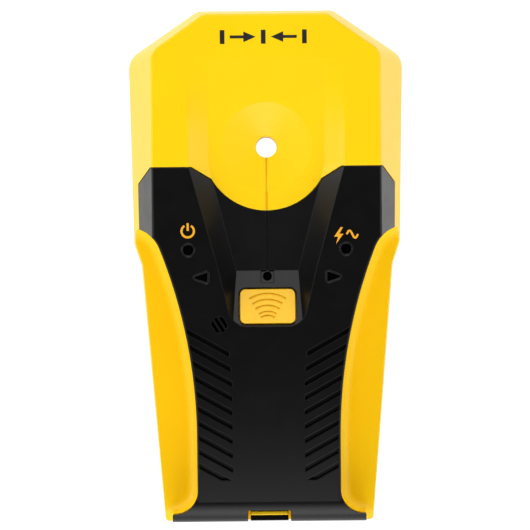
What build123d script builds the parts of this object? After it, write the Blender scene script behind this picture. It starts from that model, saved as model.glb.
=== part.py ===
"""Hand-held stud finder: yellow housing shells, a black handle cover, a scan button and a 9 V battery.

Frame: millimetres, +Z up from the sensing face at z = 0, +Y towards the head, X = 0 on the centre line.
"""
from build123d import *
from math import cos, radians, sin, sqrt, tan
import os

# ---------------------------------------------------------------- driving dimensions
LENGTH = 155.0
HEAD_WIDTH = 83.2
HEIGHT = 32.0
WALL = 2.2            # shell thickness
GAP = 0.25            # seam between two shells
TRAY_TOP = 4.0        # parting line between the rear and the front housing
FAR = 60.0            # well past the object on every side

END_Y = LENGTH / 2
SIDE_X = HEAD_WIDTH / 2

# half outlines from the head's front corner to the bottom end, and each corner's radius
BASE_CORNERS = [(20.5, END_Y), (SIDE_X, 63.1), (40.4, 6.8), (38.2, 0.2), (31.6, -END_Y)]
BASE_RADII = [4.0, 6.0, 3.5, 3.5, 1.0]
TOP_CORNERS = [(18.6, END_Y - 1.6), (34.6, 64.6), (34.6, 6.8), (32.4, 0.2), (28.8, -END_Y)]
TOP_RADII = [3.5, 5.0, 3.5, 3.5, 1.0]

# top line of the handle
FLAT_END_Y = -19.0
TOP_ARC_R = 234.0
END_ROUND_R = 6.0
EDGE_R = 0.8

# finger coves
COVE_X = 21.7
COVE_FOOT_Y = -75.2
COVE_FOOT_R = 7.1
COVE_TIP_R = 0.35
COVE_FOOT_X = 29.3     # outer side of the foot, past which the cove runs out of the end
COVE_STRAIGHT_Y = -52.0
COVE_LONG_R = 156.0
COVE_LONG_ANGLE = 21.5
COVE_CORNER_R = 10.5
COVE_FLOOR_Z = 6.0
COVE_BLEND_R = 3.5

# channel between the arms: (y, half width at the top, half width at the floor)
CHANNEL_START_Y = 62.5
RAMP_FOOT_Y = -1.5
RAMP_TOP_Y = -18.5
RAMP_DEPTH = 8.7
CHANNEL_BEND_Y = 30.5
CHANNEL_HEAD = (23.7, 17.5)
CHANNEL_FOOT = (14.7, 9.4)
RAMP_HEAD = (10.7, 10.6)
RAMP_END_R = 6.0
FLOOR_SLOPE = RAMP_DEPTH / (CHANNEL_START_Y - RAMP_FOOT_Y)
RAMP_SLOPE = RAMP_DEPTH / (RAMP_FOOT_Y - RAMP_TOP_Y)

# marking hole
HOLE_Y = 35.75
HOLE_R = 3.15
TUBE_R = 4.7
DISH_R = 13.6
DISH_DEPTH = 3.4
SEAM_ARC_R = 19.4

# cover
SEAM_Z = 12.0
ARM_TOP_Y = 29.6
COVER_SEAM = [
    (50, SEAM_Z),
    (9, SEAM_Z),
    (-7, 28.6),
    (-63, 24.6),
    (-71, SEAM_Z),
    (-90, SEAM_Z),
    (-90, 50),
    (50, 50),
]
COVER_SEAM_RADII = [0, 5, 7, 6, 5, 0, 0, 0]
INNER_X = 19.0        # the channel's skin, which the cover holds down to SEAM_Z
INNER_Y = -24.0
RIB_COUNT = 10
RIB_PITCH = 4.3
RIB_FIRST_Y = -20.1
RIB_ANGLE = 29.0
RIB_EDGE_X = 23.8     # where RIB_FIRST_Y is measured
RIB_FIRST_INNER_X = 11.7
RIB_INNER_X = 10.9
RIB_WIDTH = 1.45
RIB_DEPTH = 1.3
RIB_RIM = 0.6         # land between the grooves and the cover's edge
RIB_END_Y = -64.9
LINE_DEPTH = 0.4
LINE_HALF_WIDTHS = (0.4, 0.3, 0.2)    # on the cover, on the housing and in the dish

# button
BUTTON_Y = -12.35
BUTTON_W = 16.6
BUTTON_L = 10.3
BUTTON_R = 1.6
BUTTON_GAP = 0.4
BUTTON_PROUD = 0.9
BUTTON_TRAVEL = 0.8
FLANGE_OVERLAP = 1.2
FLANGE_T = 1.2
POST_R = 2.5
SWITCH_W = 6.0
SWITCH_H = 3.5
SWITCH_WELL_Z = 2.2   # floor of the plunger's well, above the board
PLUNGER_R = 1.7
ARC_CENTER_Y = -19.1
ARC_RADII = [10.5, 8.7, 6.9, 5.1, 3.9]
ARC_HALF_ANGLE = 31.0
ARC_W = 0.5

# windows
WINDOW_X = 23.8
WINDOW_Y = 4.8
WINDOW_R = 1.45
RIM_W = 0.62
RIM_H = 0.35
RIM_ROUND = 0.3
PIPE_RECESS = 1.1
ARROW_TIP_X = 22.3
ARROW_BASE_X = 18.15
ARROW_Y = -3.5
ARROW_HALF = 1.4
ARROW_CORNER_R = 0.25
CENTER_LIGHT_Y = -3.3
NOTCH_HALF = 1.95
NOTCH_DEPTH = 0.6
CENTER_LIGHT_R = 1.25
PIPE_CLEARANCE = 0.05
GRILLE_X = -14.6
GRILLE_Y = -17.8
GRILLE_R = 2.45
GRILLE_ANGLE = -58.0
SLOT_PITCH = 1.55
SLOT_W = 0.95
BUZZER_R = 4.5
BUZZER_Z = 21.9
BUZZER_TOP = 26.4

# board
BOARD_Z = 4.5
BOARD_T = 1.6
BOARD_TOP = BOARD_Z + BOARD_T
BOARD_OUTLINE = [(20.5, 68), (20.5, 9), (27, 9), (27, 0), (20.5, -6), (20.5, -16.2)]
POST_PLACES = [(16.5, 62.0), (16.5, 14.0)]
LED_TOP = BOARD_TOP + 2.1

# fasteners: x, y and the height of the boss that takes the screw
HEAD_SCREWS = [(24.5, 59.0), (28.0, 17.5)]
HANDLE_SCREW = (17.9, -27.0)
BOSS_R = 3.1
SCREW_R = 1.3
SCREW_HEAD_R = 2.6
SCREW_HEAD_T = 1.8
SCREW_LENGTH = 16.0
REAR_BOSS_R = 3.7
REAR_BOSS_TOP = 6.0

# battery, a 9 V block
BATTERY = (26.5, 46.0, 17.5)
BATTERY_END_Y = -72.2
BATTERY_Z = 2.6
TERMINAL_H = 2.5
TERMINAL_X = 6.35
SNAP_T = 5.5
LEAD_R = 0.65

# battery door
DOOR_HALF = 13.9
HINGE_Y = -22.0
HINGE_Z = 1.0
HINGE_PIN_R = 0.6
HINGE_PIN_CLEARANCE = 0.06
TAB_HALF = 5.75
NOTCH_X = 6.5
NOTCH_Y = -74.1
END_PAD_X = 9.0       # thickened end wall behind the latch tab
END_PAD_Y = -72.5
TAB_T = 1.3
TAB_TOP = 18.5


# ---------------------------------------------------------------- helpers
def both_sides(shape):
    """The shape and its mirror image about the centre plane."""
    return [shape, mirror(shape, Plane.YZ)]


def symmetric(half):
    """A closed outline from its right half."""
    return half + [(-x, y) for x, y in reversed(half)]


def inset_corners(points, d):
    """Corners of a convex clockwise outline with every side moved in by d."""
    sides = []
    for (x0, y0), (x1, y1) in zip(points, points[1:] + points[:1]):
        length = sqrt((x1 - x0) ** 2 + (y1 - y0) ** 2)
        nx, ny = (y1 - y0) / length, -(x1 - x0) / length
        sides.append((nx, ny, nx * x0 + ny * y0 + d))
    found = []
    for (a, b, c), (e, f, g) in zip(sides[-1:] + sides[:-1], sides):
        det = a * f - b * e
        found.append(((c * f - b * g) / det, (a * g - c * e) / det))
    return found


def outline_face(half, radii, d, z):
    """A rounded outline at height z, moved in by d."""
    points = inset_corners(symmetric(half), d)
    rounds = [max(r - d, 0.6) for r in radii + radii[::-1]]
    wire = FilletPolyline(*[(x, y, z) for x, y in points], radius=rounds, close=True)
    return make_face(wire.edges())


def face_xy(points, z=0):
    return make_face(Polyline(*[(x, y, z) for x, y in points], close=True).edges())


def prism(points, z0, z1):
    """An upright prism over a closed outline in plan."""
    return extrude(face_xy(points, z0), amount=z1 - z0, dir=(0, 0, 1))


def side_prism(wire_edges, d=0.0):
    """A solid across the whole width, from its profile in Y and Z."""
    face = make_face(wire_edges)
    if d:
        face = offset(face, d, kind=Kind.INTERSECTION)
    return extrude(Plane.YZ * face, amount=FAR, both=True)


def rounded_block(x, y, width, length, r, z0, z1):
    face = Pos(x, y, z0) * RectangleRounded(width, length, r)
    return extrude(face, amount=z1 - z0, dir=(0, 0, 1))


def cylinder(x, y, r, z0, z1):
    return Pos(x, y, (z0 + z1) / 2) * Cylinder(r, z1 - z0)


def block(x0, x1, y0, y1, z0, z1):
    place = Pos((x0 + x1) / 2, (y0 + y1) / 2, (z0 + z1) / 2)
    return place * Box(x1 - x0, y1 - y0, z1 - z0)


def ramp_z(y, drop=0.0):
    """Height of the ramp's surface."""
    return HEIGHT - RAMP_DEPTH + (RAMP_FOOT_Y - y) * RAMP_SLOPE - drop


def above_ramp(drop):
    """Everything above the ramp's plane moved down by drop."""
    y0, y1 = -30.0, 10.0
    corners = [(y0, ramp_z(y0, drop)), (y1, ramp_z(y1, drop)), (y1, FAR), (y0, FAR)]
    return side_prism(Polyline(*corners, close=True).edges())


def write(name, *solids):
    """Writes one sub-part. Several solids stay separate solids in one file."""
    shape = solids[0] if len(solids) == 1 else Compound(children=list(solids))
    shape.label = name
    export_step(shape, f"parts/{name}.step")


# ---------------------------------------------------------------- outer form, moved in by d
def top_profile(d):
    """The side view: flat head, falling handle, rounded bottom end."""
    arc_r = TOP_ARC_R - d
    fall_end = -END_Y + END_ROUND_R
    top = HEIGHT - d
    drop = arc_r - sqrt(arc_r**2 - (fall_end - FLAT_END_Y) ** 2)
    shoulder = top - drop
    mid_y = (FLAT_END_Y + fall_end) / 2
    mid_z = top - (arc_r - sqrt(arc_r**2 - (mid_y - FLAT_END_Y) ** 2))
    end_r = END_ROUND_R - d
    end_y = -END_Y + d
    turn = sin(radians(45)) * end_r
    edges = [
        Line((FAR * 2, top), (FLAT_END_Y, top)),
        ThreePointArc((FLAT_END_Y, top), (mid_y, mid_z), (fall_end, shoulder)),
        ThreePointArc(
            (fall_end, shoulder),
            (fall_end - turn, shoulder - end_r + turn),
            (end_y, shoulder - end_r),
        ),
        Line((end_y, shoulder - end_r), (end_y, d)),
        Line((end_y, d), (FAR * 2, d)),
        Line((FAR * 2, d), (FAR * 2, top)),
    ]
    return side_prism(Wire(edges).edges())


def cove(d):
    """What the right-hand finger cove takes away."""
    x = COVE_X - d
    foot_y = COVE_FOOT_Y - d
    foot_r = COVE_FOOT_R + d
    start = (x, COVE_STRAIGHT_Y)
    long_arc = JernArc(start, (0, 1), COVE_LONG_R + d, -COVE_LONG_ANGLE)
    corner = JernArc(long_arc @ 1, long_arc % 1, COVE_CORNER_R + d, -(90 - COVE_LONG_ANGLE))
    top_y = (corner @ 1).Y
    foot = CenterArc((x + foot_r, foot_y + foot_r), foot_r, 180, 90)
    past_end = -END_Y - 10
    side_x = max(COVE_FOOT_X - d, x + foot_r + COVE_TIP_R + 0.1)
    tip = CenterArc((side_x - COVE_TIP_R, foot_y - COVE_TIP_R), COVE_TIP_R, 0, 90)
    edges = [
        Line((FAR, past_end), (side_x, past_end)),
        Line((side_x, past_end), tip @ 0),
        tip,
        Line(tip @ 1, (x + foot_r, foot_y)),
        foot,
        Line((x, foot_y + foot_r), start),
        long_arc,
        corner,
        Line(corner @ 1, (FAR, top_y)),
        Line((FAR, top_y), (FAR, past_end)),
    ]
    tool = extrude(Pos(0, 0, COVE_FLOOR_Z - d) * make_face(Wire(edges).edges()), amount=FAR)
    if d == 0:
        bottom = tool.edges().group_by(Axis.Z)[0]
        inner = [e for e in bottom if e.center().X < FAR - 1 and e.center().Y > past_end + 1]
        tool = fillet(inner, COVE_BLEND_R)
    return tool


def channel_section(y, half_top, half_floor, depth):
    points = [
        (-half_top, HEIGHT + 9),
        (-half_top, HEIGHT),
        (-half_floor, HEIGHT - depth),
        (half_floor, HEIGHT - depth),
        (half_top, HEIGHT),
        (half_top, HEIGHT + 9),
    ]
    return make_face(Polyline(*[(x, y, z) for x, z in points], close=True).edges())


def channel(d):
    """The sunken channel between the arms and the ramp that closes it."""
    drop = 1.1 * d
    bend_depth = (CHANNEL_START_Y - CHANNEL_BEND_Y) * FLOOR_SLOPE
    stations = [
        (CHANNEL_START_Y + d, *CHANNEL_HEAD, 0.0),
        (CHANNEL_BEND_Y, *CHANNEL_HEAD, bend_depth),
        (RAMP_FOOT_Y, *CHANNEL_FOOT, RAMP_DEPTH),
        (RAMP_TOP_Y, *RAMP_HEAD, 0.0),
    ]
    tool = None
    for (y0, t0, f0, z0), (y1, t1, f1, z1) in zip(stations, stations[1:]):
        near = channel_section(y0, t0 + d, f0 + d, z0 + drop)
        away = channel_section(y1, t1 + d, f1 + d, z1 + drop)
        span = loft([near, away], ruled=True)
        tool = span if tool is None else tool + span
    end_y = RAMP_TOP_Y - d
    w = RAMP_HEAD[0] + d
    limit = [(-40, 70), (-40, 20), (-w - 2.4, -8), (-w, end_y), (w, end_y), (w + 2.4, -8), (40, 20), (40, 70)]
    rounds = [0, 0, 0, RAMP_END_R + d, RAMP_END_R + d, 0, 0, 0]
    plan = make_face(FilletPolyline(*limit, radius=rounds, close=True).edges())
    return tool & extrude(plan, amount=FAR)


def dish(d):
    """The cone round the marking hole, square to the sloping channel floor."""
    floor_z = HEIGHT - (CHANNEL_START_Y - HOLE_Y) * FLOOR_SLOPE
    axis = Plane(origin=(0, HOLE_Y, floor_z), x_dir=(1, 0, 0), z_dir=(0, -FLOOR_SLOPE, 1))
    slope = (DISH_R - HOLE_R) / DISH_DEPTH
    depth = DISH_DEPTH + d
    extra = 0.2
    top_r = DISH_R + slope * extra + 0.7 * d
    cone = Cone(HOLE_R + 0.7 * d, top_r, depth + extra)
    return axis * Pos(0, 0, (extra - depth) / 2) * cone


def top_line(y):
    """Height of the outer form's top along the length."""
    fall = max(FLAT_END_Y - y, 0.0)
    return HEIGHT - TOP_ARC_R + sqrt(TOP_ARC_R**2 - fall**2)


def rim_edges(body):
    """The edges that go round the top surface, without the ones that cross it."""
    found = []
    for edge in body.edges():
        middle = edge @ 0.5
        on_top = abs(middle.Z - top_line(middle.Y)) < 0.02
        crosses = abs(middle.X) < 1 and middle.Y < CHANNEL_START_Y
        on_end = middle.Y < -END_Y + END_ROUND_R
        if on_top and not crosses and not on_end:
            found.append(edge)
    return found


def form(d):
    """The whole outer form with every wall moved in by d. The outside also has its edges rounded."""
    lower = extrude(outline_face(BASE_CORNERS, BASE_RADII, d, d), amount=TRAY_TOP - d + 0.01)
    if d == 0:
        lower = fillet(lower.edges().group_by(Axis.Z)[0], EDGE_R)
    sloped = loft(
        [
            outline_face(BASE_CORNERS, BASE_RADII, d, TRAY_TOP),
            outline_face(TOP_CORNERS, TOP_RADII, d, HEIGHT),
        ],
        ruled=True,
    )
    body = (lower + sloped) & top_profile(d)
    for tool in both_sides(cove(d)):
        body -= tool
    if d == 0:
        body = fillet(rim_edges(body), EDGE_R)
    body -= channel(d)
    body -= dish(d)
    return body



def cover_region(grow):
    """The part of the form that belongs to the handle cover, grown by the seam gap."""
    profile = FilletPolyline(*COVER_SEAM, radius=COVER_SEAM_RADII, close=True)
    side = side_prism(profile.edges(), grow)
    side += block(-INNER_X, INNER_X, INNER_Y, 50, SEAM_Z - grow, FAR)
    arc_x = 16.8
    arc_y = HOLE_Y - sqrt(SEAM_ARC_R**2 - arc_x**2)
    neck_r = SEAM_ARC_R - grow
    chamfer = [(22.7, ARM_TOP_Y), (35.0, ARM_TOP_Y), (45.0, 17.2)]
    left = [(-x, y) for x, y in chamfer[::-1]]
    loop = [(arc_x, arc_y), *chamfer, (45, -90), (-45, -90), *left, (-arc_x, arc_y)]
    edges = [Line(a, b) for a, b in zip(loop, loop[1:])]
    edges.append(ThreePointArc(loop[-1], (0, HOLE_Y - SEAM_ARC_R), loop[0]))
    plan = make_face(Wire(edges).edges())
    if grow:
        plan = offset(plan, grow, kind=Kind.INTERSECTION)
    return side & extrude(plan, amount=FAR)


# ---------------------------------------------------------------- details of the cover
def rib_grooves():
    """Slanted finger grooves down both sides of the grip, at a constant depth."""
    a = radians(RIB_ANGLE)
    bars = None
    for i in range(RIB_COUNT):
        y = RIB_FIRST_Y - i * RIB_PITCH
        inner_x = max(RIB_INNER_X, RIB_FIRST_INNER_X - 0.4 * i)
        outer_x = 30.0
        mid_x = (inner_x + outer_x) / 2
        mid_y = y - (RIB_EDGE_X - mid_x) * tan(a)
        bar = Pos(mid_x, mid_y) * Rot(0, 0, RIB_ANGLE) * Rectangle(FAR, RIB_WIDTH)
        bar &= Pos(mid_x, mid_y) * Rectangle(outer_x - inner_x, FAR)
        bars = bar if bars is None else bars + bar
    bars &= Pos(30, (RIB_END_Y + 10) / 2) * Rectangle(60, 10 - RIB_END_Y)
    tool = extrude(bars, amount=FAR) - top_profile(RIB_DEPTH) - cove(RIB_RIM)
    return both_sides(tool)


def raised(rim):
    """A raised rim round a window, with its top edges rounded."""
    solid = extrude(Pos(0, 0, HEIGHT - 1) * rim, amount=1 + RIM_H)
    return fillet(solid.edges().group_by(Axis.Z)[-1], RIM_ROUND)


def window_rim(x):
    rim = Pos(x, WINDOW_Y) * (Circle(WINDOW_R + PIPE_CLEARANCE + RIM_W) - Circle(WINDOW_R + PIPE_CLEARANCE))
    return raised(rim)


def arrow_face(grow):
    """The triangular window, pointing outwards, with round corners."""
    corners = [
        (ARROW_TIP_X, ARROW_Y),
        (ARROW_BASE_X, ARROW_Y - ARROW_HALF),
        (ARROW_BASE_X, ARROW_Y + ARROW_HALF),
    ]
    face = make_face(FilletPolyline(*corners, radius=ARROW_CORNER_R, close=True).edges())
    return offset(face, grow) if grow else face


def arrow_prism(grow, z0, z1):
    return extrude(Pos(0, 0, z0) * arrow_face(grow), amount=z1 - z0)


def grille():
    """Three slanted sound slots inside a circle."""
    slots = None
    for i in (-1, 0, 1):
        bar = Pos(i * SLOT_PITCH, 0) * Rectangle(SLOT_W, 8)
        slots = bar if slots is None else slots + bar
    slots = (Rot(0, 0, GRILLE_ANGLE + 90) * slots) & Circle(GRILLE_R)
    return extrude(Pos(GRILLE_X, GRILLE_Y, 20) * slots, amount=20)


def centre_line():
    """The engraved centre line, from the marking hole to the light's notch."""
    light_edge = CENTER_LIGHT_Y + NOTCH_HALF
    wide, middle, narrow = LINE_HALF_WIDTHS
    on_cover = block(-wide, wide, light_edge, HOLE_Y - SEAM_ARC_R, 20, 40)
    on_housing = block(-middle, middle, HOLE_Y - SEAM_ARC_R, HOLE_Y - DISH_R, 20, 40)
    in_dish = block(-narrow, narrow, HOLE_Y - DISH_R, HOLE_Y - HOLE_R, 20, 40)
    skin = form(LINE_DEPTH)
    return (on_cover + on_housing + in_dish) - skin


# ---------------------------------------------------------------- shells
OUTER = form(0.0)
INNER = form(WALL)
SHELL = OUTER - INNER


def screw_places():
    return [p for x, y in [*HEAD_SCREWS, HANDLE_SCREW] for p in ((x, y), (-x, y))]


def boss(x, y, z0):
    """A screw boss that hangs from the inside of a shell."""
    hole_top = z0 + SCREW_LENGTH
    return (cylinder(x, y, BOSS_R, z0, HEIGHT) & (OUTER - cylinder(x, y, SCREW_R, z0, hole_top)))


def front_housing():
    upper = block(-FAR, FAR, -FAR * 2, FAR * 2, TRAY_TOP + GAP, FAR)
    body = (SHELL & upper) - cover_region(GAP)
    x, y = HEAD_SCREWS[0]
    for px in (x, -x):
        body += boss(px, y, REAR_BOSS_TOP + GAP)
    tube = cylinder(0, HOLE_Y, TUBE_R, WALL + GAP, HEIGHT) & OUTER
    body += tube
    body += block(-END_PAD_X, END_PAD_X, -END_Y, END_PAD_Y, TRAY_TOP + GAP, SEAM_Z - GAP) & OUTER
    for px, py in screw_places():
        body -= cylinder(px, py, REAR_BOSS_R + GAP, 0, REAR_BOSS_TOP + GAP)
    body -= cylinder(0, HOLE_Y, HOLE_R, 0, HEIGHT + 1)
    body -= centre_line()
    body -= block(-NOTCH_X, NOTCH_X, -FAR * 2, NOTCH_Y, 0, FAR)
    return body


def handle_cover():
    body = SHELL & cover_region(0.0)
    body += block(-END_PAD_X, END_PAD_X, -END_Y, END_PAD_Y, SEAM_Z, FAR) & OUTER
    body -= block(-NOTCH_X, NOTCH_X, -FAR * 2, NOTCH_Y, 0, FAR)
    for x, y in (HEAD_SCREWS[1], HANDLE_SCREW):
        for px in (x, -x):
            body += boss(px, y, REAR_BOSS_TOP + GAP)
    for rib_y in (-40.0, -58.0):
        body += block(-14, 14, rib_y - 0.8, rib_y + 0.8, 23.2, 31) & INNER
    for tool in rib_grooves():
        body -= tool
    for x in (WINDOW_X, -WINDOW_X):
        body += window_rim(x)
        body -= cylinder(x, WINDOW_Y, WINDOW_R + PIPE_CLEARANCE, 0, FAR)
    for rim in both_sides(raised(arrow_face(PIPE_CLEARANCE + RIM_W) - arrow_face(PIPE_CLEARANCE))):
        body += rim
    for tool in both_sides(arrow_prism(PIPE_CLEARANCE, 0, FAR)):
        body -= tool
    opening = 2 * BUTTON_GAP
    body -= rounded_block(
        0, BUTTON_Y, BUTTON_W + opening, BUTTON_L + opening, BUTTON_R + BUTTON_GAP, 0, FAR
    )
    notch = block(
        -NOTCH_HALF, NOTCH_HALF, CENTER_LIGHT_Y - NOTCH_HALF, CENTER_LIGHT_Y + NOTCH_HALF, 0, FAR
    )
    body -= notch & above_ramp(NOTCH_DEPTH)
    body -= cylinder(0, CENTER_LIGHT_Y, CENTER_LIGHT_R + PIPE_CLEARANCE, 0, FAR)
    body -= grille()
    body -= centre_line()
    return body


def rear_housing():
    body = SHELL & block(-FAR, FAR, -FAR * 2, FAR * 2, -1, TRAY_TOP)
    body += rear_bosses()
    body -= screw_recesses()
    body -= cylinder(0, HOLE_Y, HOLE_R, -1, WALL)
    collar = cylinder(0, HOLE_Y, TUBE_R + 1.5, WALL, 4.4) - cylinder(0, HOLE_Y, TUBE_R + 0.1, WALL, 5)
    body += collar
    body += block(-END_PAD_X, END_PAD_X, -END_Y, END_PAD_Y, WALL, TRAY_TOP) & OUTER
    body -= door_opening()
    return body


def rear_bosses():
    made = [cylinder(x, y, REAR_BOSS_R, 1, REAR_BOSS_TOP) for x, y in screw_places()]
    for x, y in POST_PLACES:
        for px in (x, -x):
            made.append(cylinder(px, y, 2.4, 1, BOARD_Z) - cylinder(px, y, 1.02, 2.8, 9))
    return made


def screw_recesses():
    made = []
    for x, y in screw_places():
        made.append(cylinder(x, y, SCREW_HEAD_R + 0.3, -1, SCREW_HEAD_T + 1.4))
        made.append(cylinder(x, y, SCREW_R + 0.15, -1, FAR))
    return made


def door_opening():
    """The battery opening, with a round seat for the door's hinge end."""
    half = DOOR_HALF + GAP
    seat_r = HINGE_Z + GAP
    hole = block(-half, half, -FAR * 2, HINGE_Y, -1, WALL + GAP)
    seat = Pos(0, HINGE_Y, HINGE_Z) * Rot(0, 90, 0) * Cylinder(seat_r, 2 * half)
    tab_slot = block(-NOTCH_X, NOTCH_X, -FAR * 2, NOTCH_Y, -1, FAR)
    pin_r = HINGE_PIN_R + HINGE_PIN_CLEARANCE
    pins = Pos(0, HINGE_Y, HINGE_Z) * Rot(0, 90, 0) * Cylinder(pin_r, 2 * (half + 1.5))
    swing = block(-half, half, HINGE_Y, HINGE_Y + HINGE_Z + 0.35, -1, HINGE_Z)
    return [hole, seat, tab_slot, pins, swing]


# ---------------------------------------------------------------- battery door
def battery_door():
    plate = block(-DOOR_HALF, DOOR_HALF, -END_Y, HINGE_Y, 0, 2 * HINGE_Z)
    plate &= OUTER
    knuckle = Pos(0, HINGE_Y, HINGE_Z) * Rot(0, 90, 0) * Cylinder(HINGE_Z, 2 * DOOR_HALF)
    pins = Pos(0, HINGE_Y, HINGE_Z) * Rot(0, 90, 0) * Cylinder(HINGE_PIN_R, 2 * (DOOR_HALF + 1.3))
    tab_y = NOTCH_Y - GAP - TAB_T
    tab = block(-TAB_HALF, TAB_HALF, tab_y, tab_y + TAB_T, 0, TAB_TOP)
    tab = fillet(tab.edges().group_by(Axis.Z)[-1], 0.4)
    door = plate + knuckle + pins + tab + latch_key()
    for i in range(4):
        y = -66.0 + i * 2.6
        door -= block(-9, 9, y, y + 1.2, -1, 0.5)
    return door


def latch_key():
    """The bar on the latch that the thumb pad is moulded over."""
    tab_face = NOTCH_Y - GAP - TAB_T
    return block(-TAB_HALF + 1, TAB_HALF - 1, tab_face - 0.6, tab_face + TAB_T / 2, 8.0, 9.2)


def latch_pad():
    """The thumb pad on the outside of the door's latch."""
    outer_y = -END_Y + 0.15
    tab_face = NOTCH_Y - GAP - TAB_T
    pad = block(-TAB_HALF, TAB_HALF, outer_y, tab_face, 4.5, TAB_TOP - 0.4)
    return fillet(pad.edges().filter_by(Axis.X).group_by(Axis.Y)[0], 0.3) - latch_key()


# ---------------------------------------------------------------- button and switch
def scan_button():
    top = above_ramp(-BUTTON_PROUD)
    cap = rounded_block(0, BUTTON_Y, BUTTON_W, BUTTON_L, BUTTON_R, 18, 40) - top
    cap -= rounded_block(0, BUTTON_Y, BUTTON_W - 3, BUTTON_L - 3, 0.6, 10, 40) - above_ramp(2.2)
    reach = 2 * (BUTTON_GAP + FLANGE_OVERLAP)
    wide = rounded_block(0, BUTTON_Y, BUTTON_W + reach, BUTTON_L + reach, BUTTON_R, 15, 40)
    under = 1.1 * WALL + 0.45
    flange = (wide - above_ramp(under)) & above_ramp(under + FLANGE_T)
    hollow = rounded_block(0, BUTTON_Y, BUTTON_W - 3, BUTTON_L - 3, 0.6, 10, 40)
    shell = (cap & above_ramp(under + FLANGE_T)) + (flange - hollow)
    post = cylinder(0, BUTTON_Y, POST_R, switch_top(), ramp_z(BUTTON_Y) - 1.0)
    return shell + post - arc_grooves()


def arc_grooves():
    """Concentric thumb grooves in the button's face."""
    rings = None
    for r in ARC_RADII:
        ring = Circle(r + ARC_W / 2) - Circle(r - ARC_W / 2)
        rings = ring if rings is None else rings + ring
    reach = 12.0
    side = reach * tan(radians(ARC_HALF_ANGLE))
    wedge = face_xy([(0, 0), (side, reach), (-side, reach)])
    arcs = extrude(Pos(0, ARC_CENTER_Y, 0) * (rings & wedge), amount=FAR)
    return arcs & above_ramp(-BUTTON_PROUD + 0.35)


def switch_top():
    """The plunger's top at rest: the button's post stays clear of the switch at full travel."""
    return BOARD_TOP + SWITCH_H + BUTTON_TRAVEL + 0.15


def tact_switch():
    body = rounded_block(0, BUTTON_Y, SWITCH_W, SWITCH_W, 0.4, BOARD_TOP, BOARD_TOP + SWITCH_H)
    return body - cylinder(0, BUTTON_Y, PLUNGER_R + 0.05, BOARD_TOP + SWITCH_WELL_Z, 20)


def switch_plunger():
    low = BOARD_TOP + SWITCH_WELL_Z + BUTTON_TRAVEL + 0.2
    return cylinder(0, BUTTON_Y, PLUNGER_R, low, switch_top())


# ---------------------------------------------------------------- lights
def light_pipe(x, y, r, top):
    stem = cylinder(x, y, r, LED_TOP + 0.3, top)
    return fillet(stem.edges().sort_by(Axis.Z)[-1], 0.4 * r)


def led(x, y):
    base = cylinder(x, y, 1.9, BOARD_TOP, BOARD_TOP + 0.8)
    dome = cylinder(x, y, 1.5, BOARD_TOP + 0.8, LED_TOP)
    dome = fillet(dome.edges().sort_by(Axis.Z)[-1], 0.9)
    return base + dome


# ---------------------------------------------------------------- board and battery
def main_pcb():
    board = prism(symmetric(BOARD_OUTLINE), BOARD_Z, BOARD_TOP)
    board -= cylinder(0, HOLE_Y, TUBE_R + 0.6, 0, 20)
    for x, y in POST_PLACES:
        for px in (x, -x):
            board -= cylinder(px, y, 1.15, 0, 20)
    return board


def sense_electrodes():
    low, high = BOARD_Z - 0.3, BOARD_Z
    centre = block(-4.5, 4.5, 45, 60, low, high)
    side = block(7, 13, 22, 60, low, high)
    return [centre, *both_sides(side)]


def chip_parts():
    """Resistors and small capacitors in two rows."""
    made = []
    for i in range(6):
        y = 24.0 + 3.2 * i
        made += both_sides(block(9.2, 10.8, y, y + 0.9, BOARD_TOP, BOARD_TOP + 0.6))
    return made


def pcb_screws():
    made = []
    for x, y in POST_PLACES:
        for px in (x, -x):
            shank = cylinder(px, y, 1.0, 2.9, BOARD_TOP)
            head = cylinder(px, y, 1.9, BOARD_TOP, BOARD_TOP + 1.3)
            slot = block(px - 1.3, px + 1.3, y - 0.2, y + 0.2, BOARD_TOP + 0.7, 9)
            cross = block(px - 0.2, px + 0.2, y - 1.3, y + 1.3, BOARD_TOP + 0.7, 9)
            made.append(shank + head - slot - cross)
    return made


def housing_screws():
    made = []
    low = 1.4
    for x, y in screw_places():
        head = cylinder(x, y, SCREW_HEAD_R, low, low + SCREW_HEAD_T)
        shank = cylinder(x, y, SCREW_R - 0.02, low, low + SCREW_LENGTH)
        slot = block(x - 1.7, x + 1.7, y - 0.3, y + 0.3, 0, low + 0.9)
        cross = block(x - 0.3, x + 0.3, y - 1.7, y + 1.7, 0, low + 0.9)
        made.append(head + shank - slot - cross)
    return made


def battery_mid_z():
    return BATTERY_Z + BATTERY[2] / 2


def battery_top_y():
    return BATTERY_END_Y + BATTERY[1]


def battery_9v():
    w, length, h = BATTERY
    y = BATTERY_END_Y + length / 2
    can = Pos(0, y, battery_mid_z()) * Box(w, length, h)
    return fillet(can.edges().filter_by(Axis.Y), 1.6)


def along_y(x, z, r, y0, y1):
    return Pos(x, (y0 + y1) / 2, z) * Rot(90, 0, 0) * Cylinder(r, y1 - y0)


def battery_terminals():
    y = battery_top_y()
    z = battery_mid_z()
    small = along_y(-TERMINAL_X, z, 2.9, y, y + TERMINAL_H)
    large = along_y(TERMINAL_X, z, 3.9, y, y + TERMINAL_H)
    return [small, large]


def battery_snap():
    y = battery_top_y() + 0.1
    z = battery_mid_z()
    body = block(-12.5, 12.5, y, y + SNAP_T, z - 5.5, z + 5.5)
    body = fillet(body.edges().filter_by(Axis.Y), 3.0)
    body -= along_y(-TERMINAL_X, z, 3.1, y - 1, y + TERMINAL_H + 0.1)
    body -= along_y(TERMINAL_X, z, 4.1, y - 1, y + TERMINAL_H + 0.1)
    return body


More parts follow.
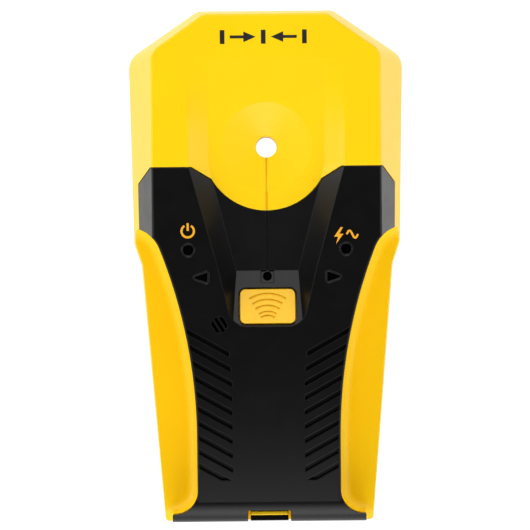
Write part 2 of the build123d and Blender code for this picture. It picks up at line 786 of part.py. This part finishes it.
def lead(points, bend_r):
    """A round wire of constant diameter along straight runs and tangent arcs."""
    path = FilletPolyline(*points, radius=bend_r)
    section = Plane(origin=path @ 0, z_dir=path % 0) * Circle(LEAD_R)
    return sweep(section, path=path)


def battery_lead(x):
    y = battery_top_y() + 0.1 + SNAP_T
    z = battery_mid_z() + 2.5
    points = [(x, y, z), (x, y + 2.6, z), (x, -14.2, BOARD_TOP + 4.6), (x, -14.2, BOARD_TOP)]
    return lead(points, 1.8)


def buzzer():
    body = cylinder(GRILLE_X, GRILLE_Y, BUZZER_R, BUZZER_Z, BUZZER_TOP)
    return body - cylinder(GRILLE_X, GRILLE_Y, 1.2, BUZZER_TOP - 1.5, 40)


def buzzer_leads():
    made = []
    for x in (-14.2, -16.2):
        points = [
            (x, GRILLE_Y, BUZZER_Z),
            (x, GRILLE_Y, 17.0),
            (x, GRILLE_Y + 3.4, 12.0),
            (x, GRILLE_Y + 3.4, BOARD_TOP),
        ]
        made.append(lead(points, 3.0))
    return made


# ---------------------------------------------------------------- write every sub-part
os.makedirs("parts", exist_ok=True)
write("front_housing", front_housing())
write("rear_housing", rear_housing())
write("handle_cover", handle_cover())
write("battery_door", battery_door())
write("latch_pad", latch_pad())
write("scan_button", scan_button())
write("tact_switch", tact_switch())
write("switch_plunger", switch_plunger())
write("power_light_pipe", light_pipe(-WINDOW_X, WINDOW_Y, WINDOW_R, HEIGHT - PIPE_RECESS))
write("ac_light_pipe", light_pipe(WINDOW_X, WINDOW_Y, WINDOW_R, HEIGHT - PIPE_RECESS))
arrow_pipe = arrow_prism(0, LED_TOP + 0.3, HEIGHT - PIPE_RECESS)
write("right_arrow_light_pipe", arrow_pipe)
write("left_arrow_light_pipe", mirror(arrow_pipe, Plane.YZ))
write("center_light_pipe", light_pipe(0, CENTER_LIGHT_Y, CENTER_LIGHT_R, ramp_z(CENTER_LIGHT_Y) - NOTCH_DEPTH - PIPE_RECESS))
write("power_led", led(-WINDOW_X, WINDOW_Y))
write("ac_led", led(WINDOW_X, WINDOW_Y))
write("right_arrow_led", led(ARROW_BASE_X + 1.8, ARROW_Y))
write("left_arrow_led", led(-ARROW_BASE_X - 1.8, ARROW_Y))
write("center_led", led(0, CENTER_LIGHT_Y))
write("main_pcb", main_pcb())
write("sense_electrodes", *sense_electrodes())
write("microcontroller", block(-3.5, 3.5, 48, 55, BOARD_TOP, BOARD_TOP + 1.0))
write("voltage_regulator", block(10.5, 14.5, 2, 5, BOARD_TOP, BOARD_TOP + 1.6))
write("filter_capacitor", cylinder(-12.5, 3.5, 3.15, BOARD_TOP, BOARD_TOP + 7.5))
write("chip_parts", *chip_parts())
write("buzzer", buzzer())
write("buzzer_leads", *buzzer_leads())
write("battery_9v", battery_9v())
write("battery_terminals", *battery_terminals())
write("battery_snap", battery_snap())
write("battery_lead_red", battery_lead(8.0))
write("battery_lead_black", battery_lead(-8.0))
pad_z = BATTERY_Z + BATTERY[2]
write("battery_foam_pad", block(-10, 10, -59.5, -38.5, pad_z, pad_z + 3.1))
write("housing_screws", *housing_screws())
write("pcb_screws", *pcb_screws())
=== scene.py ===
"""Looks for the hand-held stud finder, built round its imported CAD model. Metres, in the CAD frame."""
import math

import bmesh
import bpy
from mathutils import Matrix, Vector


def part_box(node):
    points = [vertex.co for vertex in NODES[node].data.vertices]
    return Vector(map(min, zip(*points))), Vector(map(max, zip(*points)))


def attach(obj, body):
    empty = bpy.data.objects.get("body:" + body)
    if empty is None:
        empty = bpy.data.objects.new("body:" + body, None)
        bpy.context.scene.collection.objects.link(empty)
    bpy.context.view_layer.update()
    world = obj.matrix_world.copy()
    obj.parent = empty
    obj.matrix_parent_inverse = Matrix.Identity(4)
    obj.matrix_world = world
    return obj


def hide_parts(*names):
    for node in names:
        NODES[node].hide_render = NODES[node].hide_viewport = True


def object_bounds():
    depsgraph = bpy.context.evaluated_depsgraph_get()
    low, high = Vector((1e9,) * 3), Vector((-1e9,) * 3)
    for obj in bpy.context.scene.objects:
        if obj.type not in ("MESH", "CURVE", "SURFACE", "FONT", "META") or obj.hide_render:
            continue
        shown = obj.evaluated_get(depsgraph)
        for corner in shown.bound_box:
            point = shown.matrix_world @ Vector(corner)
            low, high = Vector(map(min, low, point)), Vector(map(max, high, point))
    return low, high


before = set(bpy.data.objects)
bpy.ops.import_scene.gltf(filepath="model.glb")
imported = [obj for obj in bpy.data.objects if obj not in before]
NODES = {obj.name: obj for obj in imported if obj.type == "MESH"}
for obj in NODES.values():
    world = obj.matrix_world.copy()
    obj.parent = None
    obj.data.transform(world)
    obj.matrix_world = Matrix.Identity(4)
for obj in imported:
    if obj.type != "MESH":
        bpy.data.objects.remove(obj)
cad_low, cad_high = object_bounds()

MM = 0.001

# ---------------------------------------------------------------- places taken from the frame
TOP_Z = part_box("front_housing")[1].z


# ---------------------------------------------------------------- material helpers
def new_material(name):
    mat = bpy.data.materials.new(name)
    mat.use_nodes = True
    nodes = mat.node_tree.nodes
    nodes.clear()
    out = nodes.new("ShaderNodeOutputMaterial")
    shader = nodes.new("ShaderNodeBsdfPrincipled")
    mat.node_tree.links.new(shader.outputs["BSDF"], out.inputs["Surface"])
    return mat, shader


def link(mat, a, b):
    mat.node_tree.links.new(a, b)


def noise(mat, scale, detail=4.0, rough=0.5, stretch=(1, 1, 1)):
    nodes = mat.node_tree.nodes
    coords = nodes.new("ShaderNodeTexCoord")
    mapping = nodes.new("ShaderNodeMapping")
    mapping.inputs["Scale"].default_value = stretch
    tex = nodes.new("ShaderNodeTexNoise")
    tex.inputs["Scale"].default_value = scale
    tex.inputs["Detail"].default_value = detail
    tex.inputs["Roughness"].default_value = rough
    link(mat, coords.outputs["Object"], mapping.inputs["Vector"])
    link(mat, mapping.outputs["Vector"], tex.inputs["Vector"])
    return tex.outputs["Fac"]


def ramp(mat, value, stops):
    node = mat.node_tree.nodes.new("ShaderNodeValToRGB")
    while len(node.color_ramp.elements) < len(stops):
        node.color_ramp.elements.new(0.5)
    for element, (place, colour) in zip(node.color_ramp.elements, stops):
        element.position = place
        element.color = (*colour, 1)
    link(mat, value, node.inputs["Fac"])
    return node.outputs["Color"]


def spread(mat, value, low, high):
    node = mat.node_tree.nodes.new("ShaderNodeMapRange")
    node.inputs["To Min"].default_value = low
    node.inputs["To Max"].default_value = high
    link(mat, value, node.inputs["Value"])
    return node.outputs["Result"]


def bump(mat, height, strength, distance, normal=None):
    node = mat.node_tree.nodes.new("ShaderNodeBump")
    node.inputs["Strength"].default_value = strength
    node.inputs["Distance"].default_value = distance
    link(mat, height, node.inputs["Height"])
    if normal is not None:
        link(mat, normal, node.inputs["Normal"])
    return node.outputs["Normal"]


def soft_edges(mat, radius):
    node = mat.node_tree.nodes.new("ShaderNodeBevel")
    node.samples = 6
    node.inputs["Radius"].default_value = radius
    return node.outputs["Normal"]


def moulded(name, colour, shade, roughness, grain_scale, grain, edge=0.35 * MM, specular=0.5):
    """Injection-moulded plastic: fine grain, slight colour flow, a little wear in the gloss."""
    mat, shader = new_material(name)
    flow = noise(mat, 45.0, 3.0, 0.55)
    colour_out = ramp(mat, flow, [(0.3, shade), (0.7, colour)])
    link(mat, colour_out, shader.inputs["Base Color"])
    handled = noise(mat, 160.0, 5.0, 0.6)
    link(mat, spread(mat, handled, roughness - 0.05, roughness + 0.07), shader.inputs["Roughness"])
    grain_height = noise(mat, grain_scale, 2.0, 0.6)
    normal = bump(mat, grain_height, grain, 0.02 * MM, soft_edges(mat, edge))
    link(mat, normal, shader.inputs["Normal"])
    shader.inputs["Specular IOR Level"].default_value = specular
    return mat


def metal(name, colour, roughness, stretch=(1, 1, 1)):
    mat, shader = new_material(name)
    streaks = noise(mat, 900.0, 3.0, 0.6, stretch)
    tone = ramp(mat, streaks, [(0.2, tuple(0.8 * c for c in colour)), (0.8, colour)])
    link(mat, tone, shader.inputs["Base Color"])
    shader.inputs["Metallic"].default_value = 1.0
    link(mat, spread(mat, streaks, roughness - 0.08, roughness + 0.1), shader.inputs["Roughness"])
    link(mat, bump(mat, streaks, 0.2, 0.01 * MM), shader.inputs["Normal"])
    return mat


# ---------------------------------------------------------------- materials
YELLOW = (0.97, 0.625, 0.0035)
YELLOW_DEEP = (0.955, 0.6, 0.003)
BLACK = (0.0013, 0.0013, 0.0014)
BLACK_LIGHT = (0.0018, 0.0018, 0.0019)
PRINT_EDGE = 0.02 * MM

yellow = moulded("yellow_plastic", YELLOW, YELLOW_DEEP, 0.36, 2600.0, 0.25, specular=0.25)
yellow_back = moulded("yellow_back", YELLOW, YELLOW_DEEP, 0.42, 2200.0, 0.4, specular=0.25)
black = moulded("black_plastic", BLACK_LIGHT, BLACK, 0.37, 3200.0, 0.4, specular=0.25)
button_yellow = moulded(
    "button_plastic", (0.97, 0.57, 0.008), (0.94, 0.53, 0.006), 0.4, 2600.0, 0.25, specular=0.3
)
print_black = moulded(
    "printed_black", (0.012, 0.012, 0.012), (0.009, 0.009, 0.009), 0.45, 5000.0, 0.15, edge=PRINT_EDGE
)
print_orange = moulded(
    "printed_orange", (0.9, 0.42, 0.01), (0.85, 0.38, 0.008), 0.5, 5000.0, 0.15, edge=PRINT_EDGE
)


# Painted shade: the light-pipe lens is coloured near black to stand in for the shade inside the recessed LED
# windows.
def lens_material():
    mat, shader = new_material("lens_painted_shade")
    lens_noise = noise(mat, 500.0, 2.0)
    tones = [(0.3, (0.0012, 0.0012, 0.0013)), (0.7, (0.002, 0.0019, 0.002))]
    link(mat, ramp(mat, lens_noise, tones), shader.inputs["Base Color"])
    link(mat, spread(mat, lens_noise, 0.12, 0.2), shader.inputs["Roughness"])
    link(mat, soft_edges(mat, 0.1 * MM), shader.inputs["Normal"])
    shader.inputs["Specular IOR Level"].default_value = 0.3
    return mat


lens = lens_material()


def assign(mat, *names):
    for name in names:
        data = NODES[name].data
        data.materials.clear()
        data.materials.append(mat)


assign(yellow, "front_housing")
assign(yellow_back, "rear_housing", "battery_door")
assign(black, "handle_cover", "latch_pad")
assign(button_yellow, "scan_button")
assign(lens, *[n for n in NODES if n.endswith("light_pipe")])
led_epoxy = moulded("led_epoxy", (0.72, 0.72, 0.68), (0.62, 0.62, 0.58), 0.2, 900.0, 0.1)
assign(led_epoxy, *[n for n in NODES if n.endswith("_led")])
board_green = moulded(
    "solder_mask", (0.012, 0.10, 0.035), (0.008, 0.075, 0.025), 0.3, 1500.0, 0.3, edge=0.05 * MM
)
assign(board_green, "main_pcb")
copper = metal("copper", (0.80, 0.42, 0.24), 0.35)
assign(copper, "sense_electrodes")
chip = moulded("chip_epoxy", (0.02, 0.02, 0.021), (0.014, 0.014, 0.015), 0.55, 4000.0, 0.6, edge=0.1 * MM)
assign(chip, "microcontroller", "voltage_regulator", "chip_parts", "buzzer", "tact_switch", "switch_plunger")
tin = metal("tinned_can", (0.62, 0.62, 0.63), 0.32, (1, 1, 0.1))
assign(tin, "filter_capacitor", "battery_terminals")
zinc = metal("zinc_screw", (0.55, 0.55, 0.56), 0.3)
assign(zinc, "housing_screws", "pcb_screws")
jacket = moulded("battery_jacket", (0.03, 0.035, 0.045), (0.02, 0.024, 0.03), 0.28, 800.0, 0.1)
assign(jacket, "battery_9v")
vinyl = moulded("soft_vinyl", (0.02, 0.02, 0.02), (0.014, 0.014, 0.014), 0.6, 1800.0, 0.5)
assign(vinyl, "battery_snap", "battery_lead_black", "buzzer_leads")
red = moulded("red_pvc", (0.5, 0.015, 0.012), (0.42, 0.01, 0.01), 0.35, 1800.0, 0.2)
assign(red, "battery_lead_red")
foam = moulded("grey_foam", (0.09, 0.09, 0.09), (0.06, 0.06, 0.06), 0.9, 1500.0, 1.0)
assign(foam, "battery_foam_pad")


# ---------------------------------------------------------------- printed marks
PRINT_T = 0.03 * MM


def printed(name, outlines, mat):
    """Flat marks on the top face: each outline is a closed loop of (x, y) in mm."""
    built = bmesh.new()
    for outline in outlines:
        corners = [built.verts.new((x * MM, y * MM, TOP_Z - 0.2 * PRINT_T)) for x, y in outline]
        face = built.faces.new(corners)
        if face.normal.z > 0:
            face.normal_flip()
    made = bmesh.ops.extrude_face_region(built, geom=list(built.faces))
    raised = [v for v in made["geom"] if isinstance(v, bmesh.types.BMVert)]
    bmesh.ops.translate(built, verts=raised, vec=(0, 0, PRINT_T))
    bmesh.ops.recalc_face_normals(built, faces=list(built.faces))
    mesh = bpy.data.meshes.new(name)
    built.to_mesh(mesh)
    built.free()
    mesh.materials.append(mat)
    piece = bpy.data.objects.new(name, mesh)
    bpy.context.scene.collection.objects.link(piece)
    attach(piece, "housing")


def band(points, width):
    """The outline of a line of that width along the points."""
    left, right = [], []
    for i, (x, y) in enumerate(points):
        x0, y0 = points[max(i - 1, 0)]
        x1, y1 = points[min(i + 1, len(points) - 1)]
        along = math.hypot(x1 - x0, y1 - y0)
        nx, ny = -(y1 - y0) / along * width / 2, (x1 - x0) / along * width / 2
        left.append((x + nx, y + ny))
        right.append((x - nx, y - ny))
    return left + right[::-1]


def arc(cx, cy, r, start, end, steps=40):
    angles = [math.radians(start + (end - start) * i / steps) for i in range(steps + 1)]
    return [(cx + r * math.cos(a), cy + r * math.sin(a)) for a in angles]


# places and sizes of the marks in mm
POWER_X, POWER_Y, POWER_R, POWER_STROKE = -23.9, 10.5, 1.87, 0.65
POWER_GAP = 32               # half of the ring's gap, in degrees
POWER_BAR = (0.1, 2.4)       # the bar's two ends above the ring's centre
BOLT_X, BOLT_Y = 21.6, 8.8
WAVE_X, WAVE_Y, WAVE_LENGTH, WAVE_HEIGHT, WAVE_STROKE = 24.0, 9.15, 3.4, 1.1, 0.6
WAVE_STEPS = 40
MARK_Y, MARK_H = 68.9, 2.1
BAR_HALF, BAR_PLACES = 0.7, (-13.0, -0.6, 11.8)
ARROW_HALF, SHAFT_WIDTH = 1.6, 0.9

power_ring = band(arc(POWER_X, POWER_Y, POWER_R, 90 + POWER_GAP, 90 + 360 - POWER_GAP), POWER_STROKE)
power_bar = band([(POWER_X, POWER_Y + end) for end in POWER_BAR], POWER_STROKE)
printed("printed_power_mark", [power_ring, power_bar], print_orange)

bolt_shape = [(0.6, 2.5), (-1.4, -0.35), (-0.2, -0.35), (-0.8, -2.5), (1.4, 0.5), (0.15, 0.5), (1.3, 2.5)]
bolt = [(BOLT_X + x, BOLT_Y + y) for x, y in bolt_shape]
wave = [
    (WAVE_X + WAVE_LENGTH * i / WAVE_STEPS, WAVE_Y + WAVE_HEIGHT * math.sin(2 * math.pi * i / WAVE_STEPS))
    for i in range(WAVE_STEPS + 1)
]
printed("printed_mains_mark", [bolt, band(wave, WAVE_STROKE)], print_orange)


def bar(x):
    low, high = MARK_Y - MARK_H, MARK_Y + MARK_H
    return [(x - BAR_HALF, low), (x + BAR_HALF, low), (x + BAR_HALF, high), (x - BAR_HALF, high)]


bars = [bar(x) for x in BAR_PLACES]
right_arrow = [(-2.9, MARK_Y), (-6.6, MARK_Y + ARROW_HALF), (-6.6, MARK_Y - ARROW_HALF)]
left_arrow = [(1.7, MARK_Y), (5.4, MARK_Y - ARROW_HALF), (5.4, MARK_Y + ARROW_HALF)]
shafts = [band([(start, MARK_Y), (end, MARK_Y)], SHAFT_WIDTH) for start, end in ((-10.7, -6.5), (5.3, 9.5))]
printed("printed_stud_mark", bars + [right_arrow, left_arrow] + shafts, print_black)


def make_foam_pad():
    """The soft pad under the battery: a box with round edges."""
    low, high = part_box("battery_foam_pad")
    size = high - low
    bpy.ops.mesh.primitive_cube_add(size=1, location=(low + high) / 2)
    pad = bpy.context.object
    pad.name = "soft_battery_pad"
    pad.scale = size
    bpy.ops.object.transform_apply(location=True, scale=True)
    rounding = pad.modifiers.new("rounding", "BEVEL")
    rounding.width = 0.6 * MM
    rounding.segments = 4
    pad.data.materials.append(foam)
    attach(pad, "housing")
    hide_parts("battery_foam_pad")


make_foam_pad()

# ---------------------------------------------------------------- camera, floor and light
SKY = [(0.0, 0.42), (0.25, 0.75), (0.45, 1.0), (0.62, 0.8), (0.78, 0.25), (0.92, 0.02)]
SKY_STRENGTH = 1.2
SIDE_BALANCE = (1.2, 0.8)    # the world's strength at the left and at the right
FLOOR_DROP = 0.063           # the floor is clear of the open battery door
FLOOR_HALF = 3.0
FLOOR_GLOW = 0.88
CAMERA_PLACE = (-0.0007, 0.0001, 2.5)
CAMERA_ROLL = -0.53          # degrees
VIEW_WIDTH = 0.1597          # what the picture spans at the height of the top face
SENSOR_WIDTH = 36.0          # mm
# name, place, target, size and power of each softbox
SOFTBOXES = [
    ("left_softbox", (-1.1, 0.35, 0.65), (0, 0, 0), 0.7, 4.8),
    ("right_softbox", (1.1, 0.1, 0.65), (0, 0, 0), 0.7, 3.4),
    ("front_softbox", (0.1, -1.2, 0.5), (0, 0, 0), 0.8, 6.5),
    ("upper_softbox", (0.0, -0.9, 1.05), (0, -0.05, 0), 0.6, 2.6),
    ("back_softbox", (0.0, 1.1, 0.85), (0, 0, 0), 0.7, 4.5),
]


def make_camera():
    """Straight above the tool, from far away, turned by half a degree."""
    data = bpy.data.cameras.new("camera")
    data.sensor_width = SENSOR_WIDTH
    data.lens = SENSOR_WIDTH * (CAMERA_PLACE[2] - TOP_Z) / VIEW_WIDTH
    data.clip_start = 0.1
    data.clip_end = 50.0
    camera = bpy.data.objects.new("camera", data)
    bpy.context.scene.collection.objects.link(camera)
    camera.location = CAMERA_PLACE
    camera.rotation_euler = (0, 0, math.radians(CAMERA_ROLL))
    bpy.context.scene.camera = camera


def make_floor():
    mesh = bpy.data.meshes.new("floor")
    corners = [(x * FLOOR_HALF, y * FLOOR_HALF, 0) for x, y in ((-1, -1), (1, -1), (1, 1), (-1, 1))]
    mesh.from_pydata(corners, [], [(0, 1, 2, 3)])
    floor = bpy.data.objects.new("floor", mesh)
    bpy.context.scene.collection.objects.link(floor)
    floor.location.z = cad_low.z - FLOOR_DROP
    mat, shader = new_material("pale_floor")
    shader.inputs["Base Color"].default_value = (0.2, 0.2, 0.2, 1)
    shader.inputs["Roughness"].default_value = 0.9
    shader.inputs["Specular IOR Level"].default_value = 0.0
    shader.inputs["Emission Color"].default_value = (1, 1, 1, 1)
    shader.inputs["Emission Strength"].default_value = FLOOR_GLOW
    mesh.materials.append(mat)


def area_light(name, place, target, size, power):
    data = bpy.data.lights.new(name, "AREA")
    data.energy = power
    data.size = size
    light = bpy.data.objects.new(name, data)
    bpy.context.scene.collection.objects.link(light)
    light.location = place
    light.rotation_euler = (Vector(target) - Vector(place)).to_track_quat("-Z", "Y").to_euler()


def make_world():
    """A studio tent: bright all round at low elevations, and dark straight overhead."""
    world = bpy.data.worlds.new("studio")
    bpy.context.scene.world = world
    world.use_nodes = True
    nodes = world.node_tree.nodes
    links = world.node_tree.links
    coords = nodes.new("ShaderNodeTexCoord")
    split = nodes.new("ShaderNodeSeparateXYZ")
    links.new(coords.outputs["Generated"], split.inputs["Vector"])
    sky = nodes.new("ShaderNodeValToRGB")
    while len(sky.color_ramp.elements) < len(SKY):
        sky.color_ramp.elements.new(0.5)
    for element, (height, level) in zip(sky.color_ramp.elements, SKY):
        element.position = height
        element.color = (level, level, level, 1)
    links.new(split.outputs["Z"], sky.inputs["Fac"])
    background = nodes["Background"]
    side = nodes.new("ShaderNodeMapRange")
    side.inputs["From Min"].default_value = -1.0
    side.inputs["To Min"].default_value = SIDE_BALANCE[0] * SKY_STRENGTH
    side.inputs["To Max"].default_value = SIDE_BALANCE[1] * SKY_STRENGTH
    links.new(split.outputs["X"], side.inputs["Value"])
    links.new(side.outputs["Result"], background.inputs["Strength"])
    links.new(sky.outputs["Color"], background.inputs["Color"])


make_camera()
make_floor()
make_world()
for softbox in SOFTBOXES:
    area_light(*softbox)
bpy.context.scene.view_settings.view_transform = "Standard"
